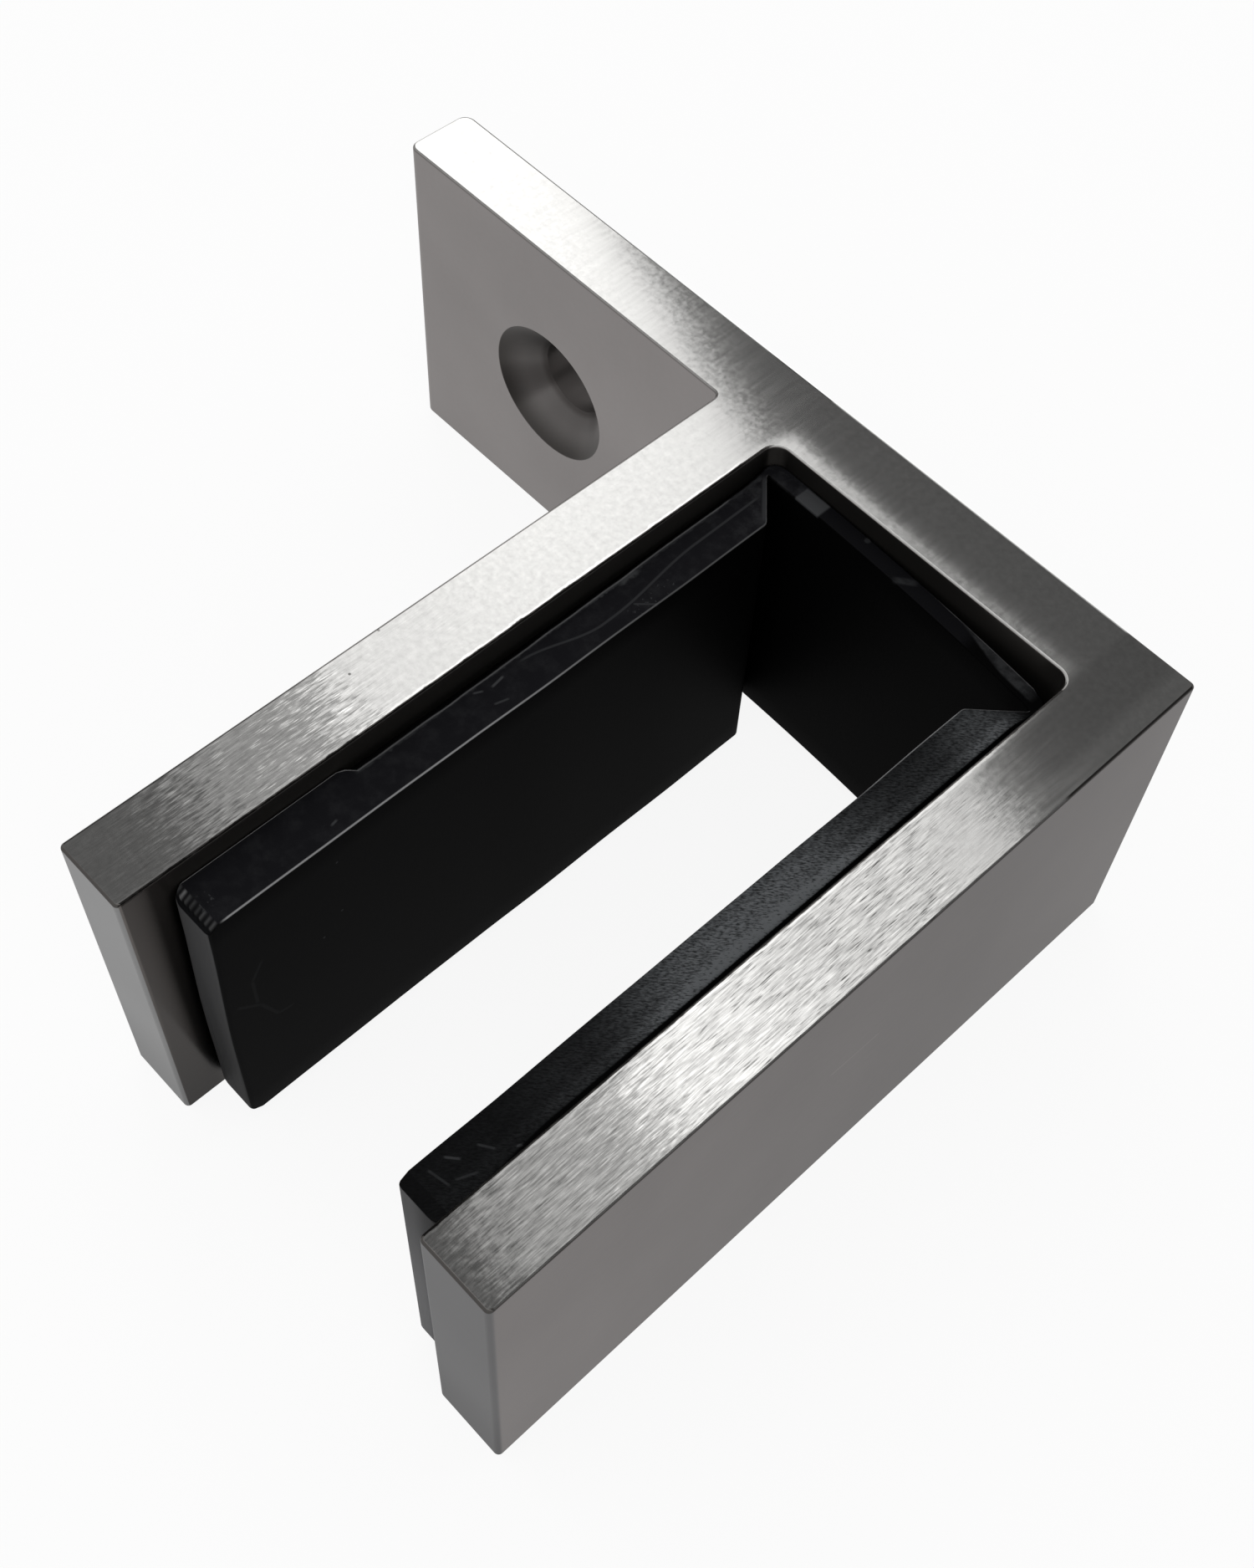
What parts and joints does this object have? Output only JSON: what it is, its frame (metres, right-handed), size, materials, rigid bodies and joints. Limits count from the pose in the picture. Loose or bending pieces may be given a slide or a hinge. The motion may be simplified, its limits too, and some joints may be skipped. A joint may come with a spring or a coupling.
{
  "type": "glass-to-wall bracket",
  "caption": "Stainless steel F-section wall bracket with a countersunk screw flange and a rubber-lined channel that grips a glass panel's edge.",
  "frame": {"origin": "axis of the screw hole on the wall face, at mid height of the section", "axes": "+Y into the wall, +X along the wall from the flange towards the channel, +Z along the section's height"},
  "size_m": [0.075, 0.063, 0.03],
  "materials": {
    "brushed_steel": "fine satin brush along the arms",
    "black_rubber": "smooth moulded rubber, semi-matt"
  },
  "bodies": {
    "root": {"bracket_body": "brushed_steel", "rubber_liner": "black_rubber"}
  },
  "joints": []
}
